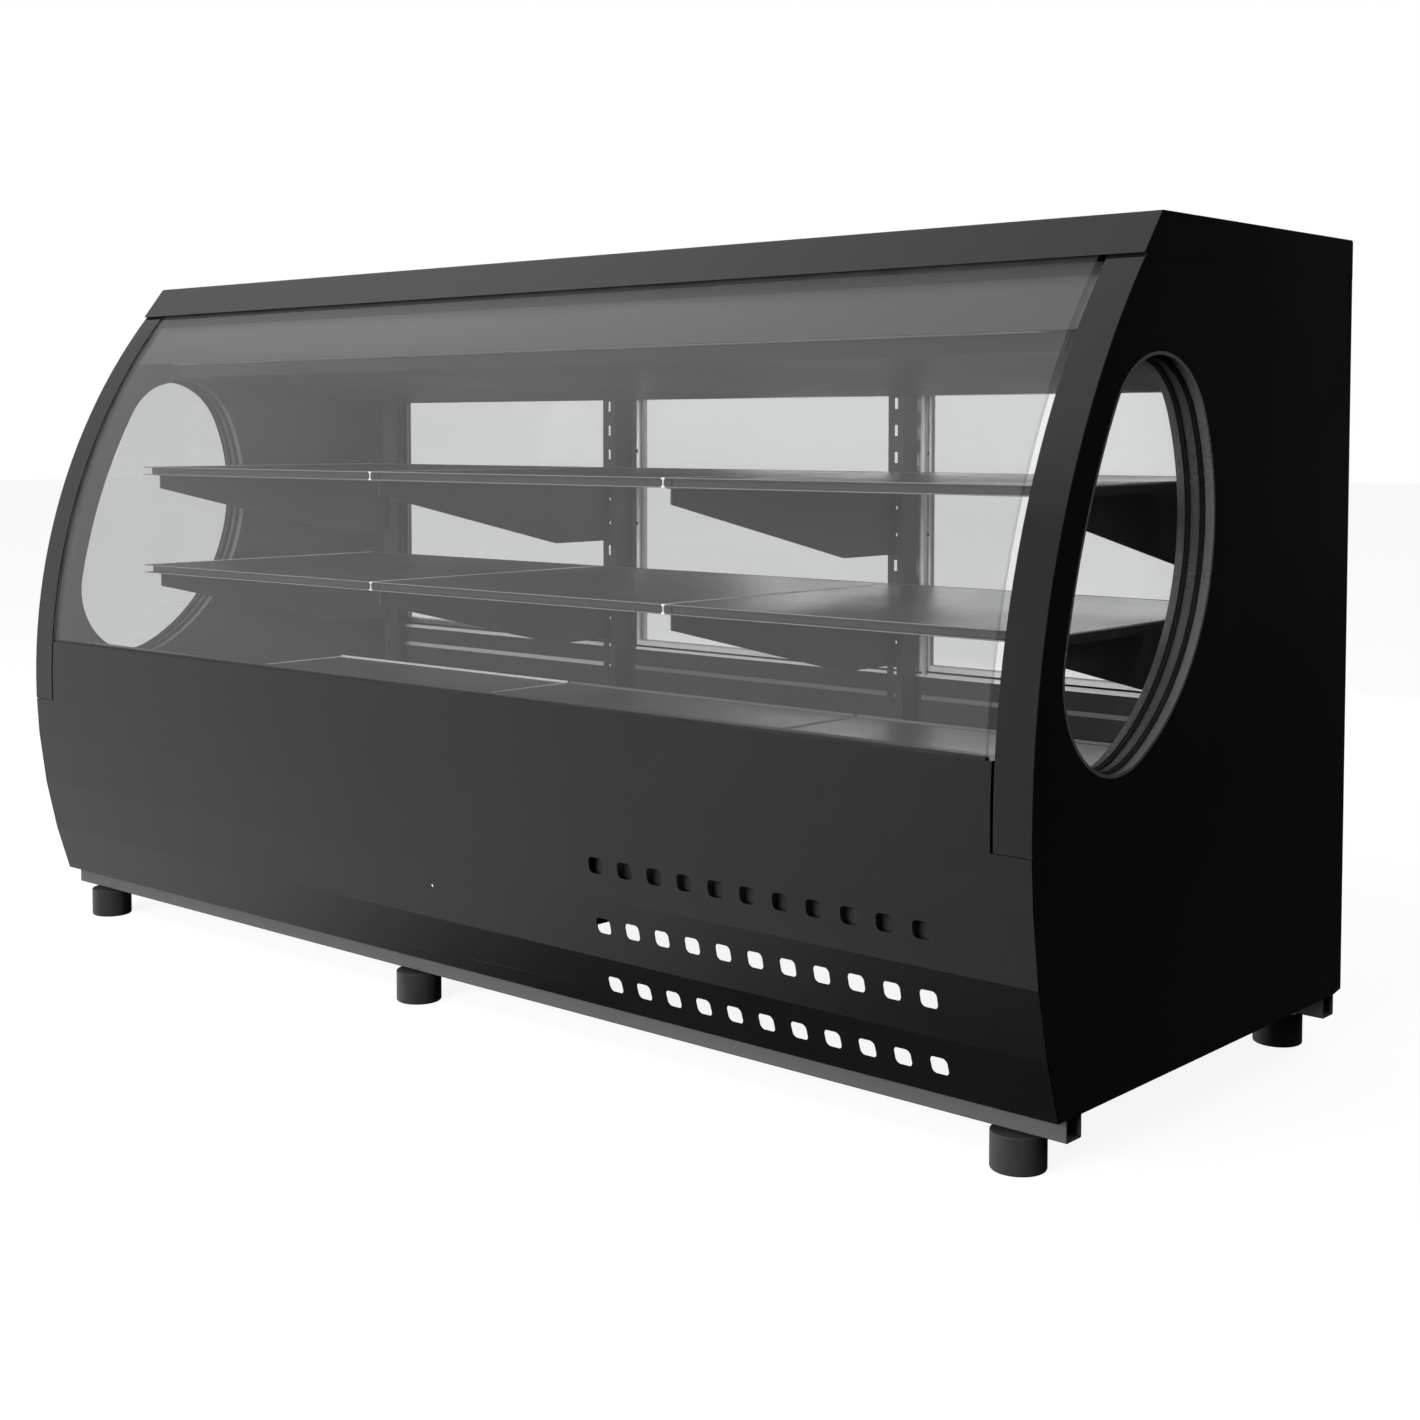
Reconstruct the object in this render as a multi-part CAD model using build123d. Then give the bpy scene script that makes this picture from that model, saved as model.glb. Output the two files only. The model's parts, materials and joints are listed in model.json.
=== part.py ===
from build123d import *
import math
import os

# Refrigerated bakery display case, in millimetres.
# X runs along the case, +Y points to the rear (the staff side), +Z is up.
# The origin is on the floor, under the centre of the case.
# Depths are given as d, the distance forward of the rear plane.

# ---- overall size ----
LENGTH = 2000.0
DEPTH = 782.0
HEIGHT = 1093.0
BASE = 76.0              # underside of the end walls, above the floor
SEAM = 1042.0            # top of the end walls, where the cap sits
END_X = LENGTH / 2
REAR = DEPTH / 2

# ---- front curve: one arc, seen from the end ----
ARC_BEHIND = 194.0       # its centre lies this far behind the rear plane
ARC_Z = 411.5
ARC_R = DEPTH + ARC_BEHIND
GLASS_FOOT = 483.0       # lower edge of the curved glass
GLASS_HEAD = 1034.0
GLASS_T = 6.0
GLASS_HALF = 938.0       # half length of the curved glass
FASCIA_STEP = 380.0      # below this the fascia covers the end walls

# ---- end walls ----
WALL_T = 50.0
SKIN_T = 1.5
LINER_T = 1.2
INNER_X = END_X - WALL_T
FASCIA_INSET = 3.4       # the walls' front edge sets back this far behind the fascia
HEEL_D = 23.0            # bevel at the rear bottom corner
HEEL_H = 4.0

# ---- end windows: two equal circles joined by a front and a rear arc ----
EGG_R = 118.0
EGG_FRONT_R = 931.5
EGG_TOP_DEG = 29.56
EGG_BOTTOM_DEG = 10.79
EGG_REAR_R = 306.0
SLEEVE_T = 1.5
SLEEVE_LIP = 4.0
PANE_T = 4.0
PANE_DEPTHS = (13.5, 33.0)   # outer faces of the two panes, in from the wall's outer face
PANE_INSET = 3.5
GASKET_INSET = 5.0
GASKET_LIP = 1.0

# ---- cap and canopy ----
CAP_TOP_D = 516.0
CAP_FOOT_D = 556.0
CAP_LIP = 14.0
CAP_FOLD_R = 4.0
CANOPY_TOP = 1041.0
CANOPY_TOP_D = 533.0
CANOPY_STEP_Z = 955.0    # flat strip behind the glass, where the lamp sits
CANOPY_STEP_D = (551.0, 604.0)
CANOPY_KNEE = (518.0, 934.0)
HEADER_Z = 893.0         # lower edge of the canopy above the doors
LAMP_D = (560.0, 584.0)
LAMP_HALF = 880.0

# ---- frame ----
RAIL_H = 28.0
RAIL_W = 32.0
RAIL_T = 2.0
RAIL_END = 3.0
FRONT_RAIL_D = 702.0     # front face
REAR_RAIL_D = 17.0       # rear face
FOOT_R = 33.0
FOOT_H = 45.0
STUD_R = 6.0
FOOT_X = (-925.0, -112.0, 925.0)

# ---- fascia ----
FASCIA_T = 1.5
FASCIA_TOP = 480.0
FASCIA_HALF = 946.0      # half length of the part between the end walls
FASCIA_FOLD = 18.0
FASCIA_BENDS = (BASE, 149.0, 233.0, 320.0, 379.0)
VENT_X = (336.5, 849.0)
VENT_COUNT = 11
VENT_Z = (277.0, 195.0, 113.0)
VENT_W = 24.5
VENT_H = 21.5
VENT_R = 6.5

# ---- insulated tub ----
TUB_FLOOR = 241.0
TUB_FOAM = 35.0
TUB_REAR_D = 31.0        # front face of the rear foam
TUB_FRONT_D = 725.0
TUB_OUT_D = 755.0
SILL_Z = 438.0
SILL_LIP_Z = 455.5       # the sill sheet turns up in front of the track
TUB_LIP_Z = 476.0

# ---- deck trays ----
DECK_Z = 406.5
DECK_D = (173.0, 720.0)
DECK_LIP = 16.0
BAY_X = 308.0            # joints between bays
BAY_GAP = 4.0
SHELF_END_X = 926.0

# ---- shelves ----
SHELF_T = 1.2
SHELF_LIP = 13.6
SHELF_D = (100.5, 610.0)
SHELF_TOPS = (775.9, 604.5)
TICKET_D = 17.0          # depth of the ticket channel along a shelf's front

# ---- shelf posts and brackets ----
POST_X = 307.0
END_POST_X = 901.0
POST_T = 2.0
POST_W = 28.5
POST_D = (32.2, 77.3)    # rear flange to slotted face
POST_RETURN = 12.0       # depth of the short fold
LEFT_POST_FLANGE = 6.5
RIGHT_POST_REAR_D = 41.5  # the right centre post stops short of the liner
POST_FOOT = 340.0
FILLER_D = 40.0
FILLER_X = 905.0         # inner edge of the plate between an end post and the wall
SLOT_PITCH = 41.7
SLOT_TOP = 881.2
SLOT_COUNT = 13
SLOT_H = 17.0
SLOT_W = 7.0
LUG_SLOTS = ((4, 5), (8, 9))
BRACKET_T = 3.0
BRACKET_NOSE_D = 593.0
BRACKET_NOSE_H = 23.5
BRACKET_HEEL_D = 208.0
BRACKET_HEEL_H = 114.0
BRACKET_FLANGE = 8.0

# ---- rear doors and tracks ----
CENTRE_DOOR_HALF = 326.0
SIDE_DOOR_X = (283.0, 949.0)   # inner and outer edge of a side door
DOOR_Z = (443.0, 919.0)
DOOR_T = 10.0
OUTER_DOOR_D = 4.5       # rear face of the outer doors
INNER_DOOR_D = 18.5
STILE_W = 45.0
OUTER_STILE_W = 30.0     # stile beside the end wall
BOTTOM_RAIL = 28.0
TOP_RAIL = 21.0
DOOR_GLASS_T = 4.0
REBATE = 6.0
PULL_H = 150.0
PULL_W = 22.0
PULL_T = 1.5
PULL_INSET = 33.5        # from a door's edge to the middle of its pull
PULL_SCREWS = 6.5        # the screws sit this far towards the glass
PULL_Z = 740.5
PULL_PITCH = 127.0
TRACK_RIBS = (1.5, 15.5, 29.5)
RIB_T = 2.0
LOWER_TRACK_Z = (439.2, 459.4)
UPPER_TRACK_Z = (905.0, 925.0)

# ---- machine compartment ----
UNIT_D = (50.0, 372.0)
UNIT_T = 2.0
UNIT_TOP = BASE + UNIT_T
COMPRESSOR_X = 760.0
COMPRESSOR_D = 205.0
COMPRESSOR_R = 72.0
COIL_X = (300.0, 560.0)
COIL_D = (300.0, 345.0)
COIL_Z = (84.0, 228.0)
FAN_R = 62.0
FAN_X = 430.0
FAN_Z = 156.0
FAN_D = 262.0
EVAP_X = (-320.0, 320.0)
EVAP_D = (420.0, 540.0)
EVAP_Z = (279.2, 380.0)
EVAP_FAN_X = 0.0
EVAP_FAN_D = 330.0
EVAP_FAN_Z = 330.0
EVAP_FAN_R = 44.0
PAN_X = (-660.0, -380.0)
PAN_D = (4.0, 330.0)
PAN_H = 40.0
CONTROL_X = (-300.0, -60.0)
CONTROL_Z = (130.0, 215.0)
CONTROL_D = 24.0         # the control plate sits this far inside the rear panel
GLAND = (-20.0, 172.0)   # x and z of the cord gland
KNOB_X = -110.0
KNOB_R = 19.0
SWITCH_X = (-250.0, -190.0)
SWITCH_W = 19.0
SWITCH_H = 28.0
ROCKER_AXIS = 4.0        # the rocker turns this far behind the face of the plate
ROCKER_PIN = 0.5         # its pins stand out this far at each side
ROCKER_PIN_R = 1.5


# ---------------------------------------------------------------- helpers
def at(d, z):
    """A point of an end view: d forward of the rear plane, height z."""
    return Vector(REAR - d, z)


def arc_d(z, inset=0.0):
    """Depth of the front curve at height z, set in by inset."""
    radius = ARC_R - inset
    return math.sqrt(radius**2 - (z - ARC_Z) ** 2) - ARC_BEHIND


def curve(z0, z1, inset=0.0):
    """The stretch of the front curve between two heights."""
    middle = (z0 + z1) / 2
    return ThreePointArc(
        at(arc_d(z0, inset), z0), at(arc_d(middle, inset), middle), at(arc_d(z1, inset), z1)
    )


def end_face(edges):
    """A face in the end view, from edges drawn in (y, z)."""
    return Plane.YZ * make_face(edges)


def along(face, x0, x1):
    """Extrudes an end-view face from x0 to x1."""
    return extrude(Pos(x0, 0, 0) * face, amount=x1 - x0, dir=(1, 0, 0))


def block(x0, x1, d0, d1, z0, z1):
    """A box between two X, two depths and two heights."""
    middle = Pos((x0 + x1) / 2, REAR - (d0 + d1) / 2, (z0 + z1) / 2)
    return middle * Box(x1 - x0, d1 - d0, z1 - z0)


def rod_x(x0, x1, d, z, radius):
    """A round bar along X."""
    return Pos((x0 + x1) / 2, REAR - d, z) * Rot(0, 90, 0) * Cylinder(radius, x1 - x0)


def rod_y(x, d0, d1, z, radius):
    """A round bar from front to rear."""
    return Pos(x, REAR - (d0 + d1) / 2, z) * Rot(90, 0, 0) * Cylinder(radius, d1 - d0)


def rod_z(x, d, z0, z1, radius):
    """An upright round bar."""
    return Pos(x, REAR - d, (z0 + z1) / 2) * Cylinder(radius, z1 - z0)


def folded(points, thickness):
    """A folded sheet's section: a line through points, thickened to its left with mitred bends."""
    spots = [at(d, z) for d, z in points]
    runs = [(b - a).normalized() for a, b in zip(spots, spots[1:])]
    lefts = [Vector(-run.Y, run.X) for run in runs]
    befores = [lefts[0]] + lefts
    afters = lefts + [lefts[-1]]
    other = [
        spot + (n + m) * (thickness / (1 + n.dot(m)))
        for spot, n, m in zip(spots, befores, afters)
    ]
    return end_face(Polyline(*spots, *reversed(other), close=True))


def x_edges(solid, d, z, reach=0.6):
    """The edges along X that run near one point of the end view."""
    target = at(d, z)
    return [
        edge
        for edge in solid.edges().filter_by(Axis.X)
        if math.hypot(edge.center().Y - target.X, edge.center().Z - target.Y) < reach
    ]


def mirrored(solid):
    """The same piece at the other end of the case."""
    return mirror(solid, about=Plane.YZ)


# ---------------------------------------------------------------- end walls
def wall_face(inset):
    """End wall outline, set in all round. Its lower front steps back behind the fascia."""
    low = BASE + inset
    top = SEAM - inset
    step = FASCIA_STEP + inset
    behind = FASCIA_INSET + inset
    return end_face(
        [
            curve(low, step, behind),
            Line(at(arc_d(step, behind), step), at(arc_d(step, inset), step)),
            curve(step, top, inset),
            Line(at(arc_d(top, inset), top), at(inset, top)),
            Line(at(inset, top), at(inset, low + HEEL_H)),
            Line(at(inset, low + HEEL_H), at(inset + HEEL_D, low)),
            Line(at(inset + HEEL_D, low), at(arc_d(low, behind), low)),
        ]
    )


def egg_spot(radius, degrees):
    """A point around the centre of the front curve."""
    angle = math.radians(degrees)
    return at(radius * math.cos(angle) - ARC_BEHIND, ARC_Z + radius * math.sin(angle))


def egg_face(inset=0.0):
    """End window outline: a circle at each end, a shallow front arc and a rounder rear arc."""
    top = egg_spot(EGG_FRONT_R - EGG_R, EGG_TOP_DEG)
    bottom = egg_spot(EGG_FRONT_R - EGG_R, EGG_BOTTOM_DEG)
    half = (top - bottom).length / 2
    reach = EGG_REAR_R - EGG_R
    up = (top - bottom).normalized()
    rear = (top + bottom) / 2 + Vector(-up.Y, up.X) * math.sqrt(reach**2 - half**2)
    radius = EGG_R - inset
    front_top = egg_spot(EGG_FRONT_R - inset, EGG_TOP_DEG)
    front_bottom = egg_spot(EGG_FRONT_R - inset, EGG_BOTTOM_DEG)
    rear_top = top + (top - rear).normalized() * radius
    rear_bottom = bottom + (bottom - rear).normalized() * radius
    crown = top + ((front_top - top) + (rear_top - top)).normalized() * radius
    foot = bottom + ((front_bottom - bottom) + (rear_bottom - bottom)).normalized() * radius
    back = rear + ((top - rear) + (bottom - rear)).normalized() * (EGG_REAR_R - inset)
    nose = egg_spot(EGG_FRONT_R - inset, (EGG_TOP_DEG + EGG_BOTTOM_DEG) / 2)
    return end_face(
        [
            ThreePointArc(front_bottom, nose, front_top),
            ThreePointArc(front_top, crown, rear_top),
            ThreePointArc(rear_top, back, rear_bottom),
            ThreePointArc(rear_bottom, foot, front_bottom),
        ]
    )


def beside(point, box):
    """True where a point lies in the Y and Z range of a box."""
    return box.min.Y - 1 < point.Y < box.max.Y + 1 and box.min.Z - 1 < point.Z < box.max.Z + 1


def end_skin():
    """Painted outer sheet of the right wall: the side, and the edges folded round the foam."""
    shell = along(wall_face(0), INNER_X, END_X)
    pocket = along(wall_face(SKIN_T), INNER_X, END_X - SKIN_T)
    skin = shell - pocket - along(egg_face(), INNER_X, END_X)
    outer = skin.edges().filter_by(lambda edge: edge.center().X > END_X - 0.1)
    rim = along(egg_face(), END_X - 1, END_X).bounding_box()
    border = [e for e in outer if not beside(e.center(), rim)]
    return chamfer(border, 0.6)


def end_foam():
    """Insulation of the right wall."""
    core = along(wall_face(SKIN_T), INNER_X + LINER_T, END_X - SKIN_T)
    return core - along(egg_face(), INNER_X, END_X)


def end_liner():
    """Inner sheet of the right wall."""
    sheet = along(wall_face(SKIN_T), INNER_X, INNER_X + LINER_T)
    return sheet - along(egg_face(), INNER_X, END_X)


def porthole_sleeve():
    """Band that lines the window opening through the right wall."""
    band = along(egg_face(), INNER_X, END_X) - along(egg_face(SLEEVE_T), INNER_X, END_X)
    lip = along(egg_face(), END_X - SLEEVE_T, END_X)
    return band + (lip - along(egg_face(SLEEVE_LIP), END_X - SLEEVE_T, END_X))


def pane(depth):
    """One pane of the right window."""
    return along(egg_face(PANE_INSET), END_X - depth - PANE_T, END_X - depth)


def gasket(depth):
    """Glazing gasket round one pane, with a lip on both its faces."""
    low = END_X - depth - PANE_T - GASKET_LIP
    high = END_X - depth + GASKET_LIP
    ring = along(egg_face(SLEEVE_T), low, high) - along(egg_face(GASKET_INSET), low, high)
    return ring - pane(depth)


# ---------------------------------------------------------------- frame and feet
def rail(rear_face_d):
    """Square tube along the case, open at its ends."""
    half = END_X - RAIL_END
    tube = block(-half, half, rear_face_d, rear_face_d + RAIL_W, BASE - RAIL_H, BASE)
    bore = block(
        -half,
        half,
        rear_face_d + RAIL_T,
        rear_face_d + RAIL_W - RAIL_T,
        BASE - RAIL_H + RAIL_T,
        BASE - RAIL_T,
    )
    corners = [e for e in tube.edges().filter_by(Axis.X)]
    return fillet(corners, 2.0) - bore


def cross_member(x):
    """Tube between the rails, over a pair of feet."""
    rear = REAR_RAIL_D + RAIL_W
    front = FRONT_RAIL_D - RAIL_W
    outer = block(x - 15, x + 15, rear, front, BASE - RAIL_H, BASE)
    inner = block(x - 13, x + 13, rear, front, BASE - RAIL_H + RAIL_T, BASE - RAIL_T)
    return outer - inner


def levelling_foot(x, d):
    """Round foot with a short stud that enters the rail."""
    pad = rod_z(x, d, 0, FOOT_H, FOOT_R)
    pad = fillet(pad.edges().sort_by(Axis.Z)[0], 2.5)
    pad = fillet(pad.edges().sort_by(Axis.Z)[-1], 1.5)
    return pad + rod_z(x, d, FOOT_H, BASE - RAIL_H, STUD_R)


# ---------------------------------------------------------------- cap, canopy, lamp
def top_cap():
    """Folded lid over the whole length, with closed ends and a sloping front."""
    outline = end_face(
        Polyline(
            at(0, SEAM), at(0, HEIGHT), at(CAP_TOP_D, HEIGHT), at(CAP_FOOT_D, SEAM), close=True
        )
    )
    body = along(outline, -END_X, END_X)
    folds = x_edges(body, CAP_TOP_D, HEIGHT) + x_edges(body, 0, HEIGHT)
    body = fillet(folds, CAP_FOLD_R)
    hollow = end_face(
        Polyline(
            at(SKIN_T, SEAM + SKIN_T),
            at(SKIN_T, HEIGHT - SKIN_T),
            at(CAP_TOP_D - SKIN_T, HEIGHT - SKIN_T),
            at(CAP_FOOT_D - 2 * SKIN_T, SEAM + SKIN_T),
            close=True,
        )
    )
    mouth = block(
        -INNER_X, INNER_X, CAP_LIP, CAP_FOOT_D - CAP_LIP, SEAM - 1, SEAM + SKIN_T
    )
    return body - along(hollow, -END_X + SKIN_T, END_X - SKIN_T) - mouth


def rear_header():
    """Painted panel above the doors, with the shelf that carries the upper track."""
    face = block(-INNER_X, INNER_X, 0, SKIN_T, UPPER_TRACK_Z[0], SEAM)
    web_top = UPPER_TRACK_Z[1] + SKIN_T
    return face + block(-INNER_X, INNER_X, SKIN_T, POST_D[0], UPPER_TRACK_Z[1], web_top)


def canopy_liner():
    """One folded sheet: sloping face behind the glass, flat lamp strip, then the ceiling."""
    section = folded(
        [
            (CANOPY_TOP_D, CANOPY_TOP),
            (CANOPY_STEP_D[1], CANOPY_STEP_Z),
            (CANOPY_STEP_D[0], CANOPY_STEP_Z),
            CANOPY_KNEE,
            (100.0, HEADER_Z),
            (POST_D[0], HEADER_Z),
            (POST_D[0], CANOPY_TOP),
        ],
        LINER_T,
    )
    sheet = along(section, -INNER_X, INNER_X)
    window = block(
        -LAMP_HALF, LAMP_HALF, *LAMP_D, CANOPY_STEP_Z - 5, CANOPY_STEP_Z + 5
    )
    return sheet - window


def lamp_housing():
    """Channel above the lamp slot, holding two rows of light boards."""
    low = CANOPY_STEP_Z + LINER_T
    rear, front = LAMP_D
    shell = block(-LAMP_HALF - 3, LAMP_HALF + 3, rear - 3, front + 3, low, low + 11)
    room = block(-LAMP_HALF, LAMP_HALF, rear, front, low - 1, low + 9)
    housing = shell - room
    for d in (rear + 7, front - 7):
        housing += block(-LAMP_HALF, LAMP_HALF, d - 3, d + 3, low + 7.5, low + 9.5)
    return housing


def lamp_diffuser():
    """Milky strip, flush with the canopy."""
    low = CANOPY_STEP_Z - 0.8
    strip = block(-LAMP_HALF, LAMP_HALF, *LAMP_D, low, CANOPY_STEP_Z + LINER_T)
    return chamfer(strip.edges().group_by(Axis.Z)[0], 0.6)


# ---------------------------------------------------------------- front
def front_glass():
    """The single curved pane."""
    foot, head = GLASS_FOOT, GLASS_HEAD
    face = end_face(
        [
            curve(foot, head),
            Line(at(arc_d(head), head), at(arc_d(head, GLASS_T), head)),
            curve(foot, head, GLASS_T),
            Line(at(arc_d(foot, GLASS_T), foot), at(arc_d(foot), foot)),
        ]
    )
    return along(face, -GLASS_HALF, GLASS_HALF)


def glass_channel(z0, z1, lap):
    """Soft channel on one edge of the curved glass: a bar across the edge and a lip behind it."""
    lip_inset = GLASS_T + 1.6
    bar_low, bar_high = sorted((z0, z1))
    bar = end_face(
        [
            curve(bar_low, bar_high),
            Line(at(arc_d(bar_high), bar_high), at(arc_d(bar_high, lip_inset), bar_high)),
            curve(bar_low, bar_high, lip_inset),
            Line(at(arc_d(bar_low, lip_inset), bar_low), at(arc_d(bar_low), bar_low)),
        ]
    )
    lip_low, lip_high = sorted((z1, z1 + lap))
    lip = end_face(
        [
            curve(lip_low, lip_high, GLASS_T),
            Line(at(arc_d(lip_high, GLASS_T), lip_high), at(arc_d(lip_high, lip_inset), lip_high)),
            curve(lip_low, lip_high, lip_inset),
            Line(at(arc_d(lip_low, lip_inset), lip_low), at(arc_d(lip_low, GLASS_T), lip_low)),
        ]
    )
    return along(bar, -GLASS_HALF, GLASS_HALF) + along(lip, -GLASS_HALF, GLASS_HALF)


def edge_seal():
    """Clear strip between the curved glass and the right wall."""
    foot, head = GLASS_FOOT, GLASS_HEAD
    skin = 0.8
    face = end_face(
        [
            curve(foot, head, skin),
            Line(at(arc_d(head, skin), head), at(arc_d(head, GLASS_T - skin), head)),
            curve(foot, head, GLASS_T - skin),
            Line(at(arc_d(foot, GLASS_T - skin), foot), at(arc_d(foot, skin), foot)),
        ]
    )
    return along(face, GLASS_HALF, INNER_X)


def vents(row_z):
    """One row of rounded vent holes, as cutters."""
    pitch = (VENT_X[1] - VENT_X[0]) / (VENT_COUNT - 1)
    hole = Plane.XZ * RectangleRounded(VENT_W, VENT_H, VENT_R)
    cutter = extrude(hole, amount=120, dir=(0, -1, 0))
    front = -REAR + 90
    return [Pos(VENT_X[0] + i * pitch, front, row_z) * cutter for i in range(VENT_COUNT)]


def front_fascia():
    """Bent front panel: full width below, between the end walls above, with folds top and bottom."""
    bends = [(arc_d(z), z) for z in FASCIA_BENDS]
    wide = along(folded(bends + [(arc_d(379.0, 3.0), 379.0)], -FASCIA_T), -END_X + 1, END_X - 1)
    upper = [bends[-2], bends[-1]]
    upper += [(arc_d(430.0), 430.0), (arc_d(FASCIA_TOP), FASCIA_TOP)]
    upper += [(arc_d(FASCIA_TOP) - FASCIA_FOLD, FASCIA_TOP)]
    narrow = along(folded(upper, -FASCIA_T), -FASCIA_HALF, FASCIA_HALF)
    foot = block(
        -INNER_X + 1,
        INNER_X - 1,
        arc_d(BASE) - FASCIA_FOLD,
        arc_d(BASE) - FASCIA_T / 2,
        BASE + 0.2,
        BASE + 0.2 + FASCIA_T,
    )
    screw_hole = rod_y(0, 740, 800, BASE + 122, 2.6)
    panel = wide + narrow + foot - screw_hole
    for row_z in VENT_Z:
        panel -= vents(row_z)
    return panel


# ---------------------------------------------------------------- tub and deck
def tub_foam():
    """Insulated trough under the deck: rear wall, floor and front wall."""
    section = end_face(
        Polyline(
            at(SKIN_T, TUB_FLOOR),
            at(SKIN_T, SILL_Z),
            at(TUB_REAR_D, SILL_Z),
            at(TUB_REAR_D, TUB_FLOOR + TUB_FOAM),
            at(TUB_FRONT_D, TUB_FLOOR + TUB_FOAM),
            at(TUB_FRONT_D, TUB_LIP_Z),
            at(TUB_OUT_D, TUB_LIP_Z),
            at(TUB_OUT_D, TUB_FLOOR),
            close=True,
        )
    )
    drain = rod_z(-520.0, 180, TUB_FLOOR - 1, TUB_FLOOR + TUB_FOAM + 1, 11)
    return along(section, -INNER_X, INNER_X) - drain


def tub_liner():
    """Sheet over the trough: sill at the rear, ledge at the front, bearers for the trays."""
    section = folded(
        [
            (SKIN_T, SILL_Z),
            (TUB_REAR_D, SILL_Z),
            (TUB_REAR_D, TUB_FLOOR + TUB_FOAM),
            (TUB_FRONT_D, TUB_FLOOR + TUB_FOAM),
            (TUB_FRONT_D, TUB_LIP_Z),
            (TUB_OUT_D + 8, TUB_LIP_Z),
        ],
        -LINER_T,
    )
    drain = rod_z(-520.0, 180, TUB_FLOOR, TUB_FLOOR + 60, 8)
    liner = along(section, -INNER_X, INNER_X) - drain
    liner += block(-INNER_X, INNER_X, TUB_REAR_D + 0.5, POST_D[0], SILL_Z, SILL_LIP_Z)
    for x in (-INNER_X + 15, -BAY_X, BAY_X, INNER_X - 15):
        low = DECK_Z - DECK_LIP
        liner += block(x - 14, x + 14, POST_D[1] + 3, TUB_FRONT_D, low - 2, low)
        liner += block(x - 1, x + 1, POST_D[1] + 3, TUB_FRONT_D, low - 16, low)
    return liner


def deck_tray(x0, x1):
    """Deck plate with folded edges and a raised rear hem."""
    rear, front = DECK_D
    tray = block(x0, x1, rear, front, DECK_Z - DECK_LIP, DECK_Z)
    tray -= block(x0 + 1.5, x1 - 1.5, rear + 1.5, front - 1.5, DECK_Z - DECK_LIP, DECK_Z - 1.5)
    hem = rod_x(x0, x1, rear + 2.5, DECK_Z + 0.4, 2.5)
    return tray + hem


# ---------------------------------------------------------------- shelves
def shelf(x0, x1, top):
    """Painted sheet shelf: folded down all round, with a ticket channel along the front."""
    rear, front = SHELF_D
    low = top - SHELF_LIP
    body = block(x0, x1, rear, front, low, top)
    room = block(
        x0 + SHELF_T, x1 - SHELF_T, rear + SHELF_T, front - TICKET_D - SHELF_T, low, top - SHELF_T
    )
    ticket = block(x0, x1, front - TICKET_D, front, low + SHELF_T, top - SHELF_T)
    return body - room - ticket


def bays():
    """X range of the left, centre and right shelf."""
    inner = BAY_X + BAY_GAP / 2
    side = BAY_X - BAY_GAP / 2
    return {
        "left": (-SHELF_END_X, -inner),
        "centre": (-side, side),
        "right": (inner, SHELF_END_X),
    }


def shelf_post(x, deep, rear=POST_D[0]):
    """Folded post: slotted front face, a short fold, and a deep fold on the side deep (-1 or 1)."""
    front = POST_D[1]
    half = POST_W / 2
    fold_x = x + deep * (half - POST_T / 2)
    short_x = x - deep * (half - POST_T / 2)
    sheet = POST_T / 2
    post = block(x - half, x + half, front - POST_T, front, POST_FOOT, HEADER_Z)
    post += block(fold_x - sheet, fold_x + sheet, rear, front, POST_FOOT, HEADER_Z)
    post += block(short_x - sheet, short_x + sheet, front - POST_RETURN, front, POST_FOOT, HEADER_Z)
    for i in range(SLOT_COUNT):
        z = SLOT_TOP - i * SLOT_PITCH
        post -= block(
            x - SLOT_W / 2, x + SLOT_W / 2, front - 4, front + 1, z - SLOT_H / 2, z + SLOT_H / 2
        )
    return post


def left_post():
    """Post between the left and centre bays, with a flange along its deep fold."""
    rear = POST_D[0]
    fold = -POST_X + POST_W / 2
    flange = block(
        fold - POST_T, fold + LEFT_POST_FLANGE, rear, rear + POST_T, POST_FOOT, HEADER_Z
    )
    return shelf_post(-POST_X, 1) + flange


def right_post():
    """Post between the centre and right bays, with a shallower deep fold."""
    return shelf_post(POST_X, 1, RIGHT_POST_REAR_D)


def end_post(side):
    """Post beside an end wall, with the plate that closes the gap to the wall."""
    near, far = sorted((side * FILLER_X, side * INNER_X))
    plate = block(near, far, FILLER_D - POST_T, FILLER_D, POST_FOOT, HEADER_Z)
    return shelf_post(side * END_POST_X, side) + plate


def shelf_bracket(x, top, lugs):
    """Tapered plate with a bearing flange. Its two hooks sit in the post's slots."""
    x0, x1 = x - BRACKET_T / 2, x + BRACKET_T / 2
    face = POST_D[1]
    outline = end_face(
        Polyline(
            at(BRACKET_NOSE_D, top),
            at(BRACKET_NOSE_D, top - BRACKET_NOSE_H),
            at(BRACKET_HEEL_D, top - BRACKET_HEEL_H),
            at(face, top - BRACKET_HEEL_H),
            at(face, top),
            close=True,
        )
    )
    plate = along(outline, x0, x1)
    plate = fillet(x_edges(plate, BRACKET_HEEL_D, top - BRACKET_HEEL_H), 14)
    plate += block(
        x - BRACKET_FLANGE, x + BRACKET_FLANGE, face + 8, BRACKET_NOSE_D, top - POST_T, top
    )
    for i in lugs:
        sill = SLOT_TOP - i * SLOT_PITCH - SLOT_H / 2
        plate += block(x0, x1, face - 6, face + 2, sill, sill + 12)
        plate += block(x0, x1, face - 6, face - POST_T - 0.2, sill - 7, sill + 2)
    return plate


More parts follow.
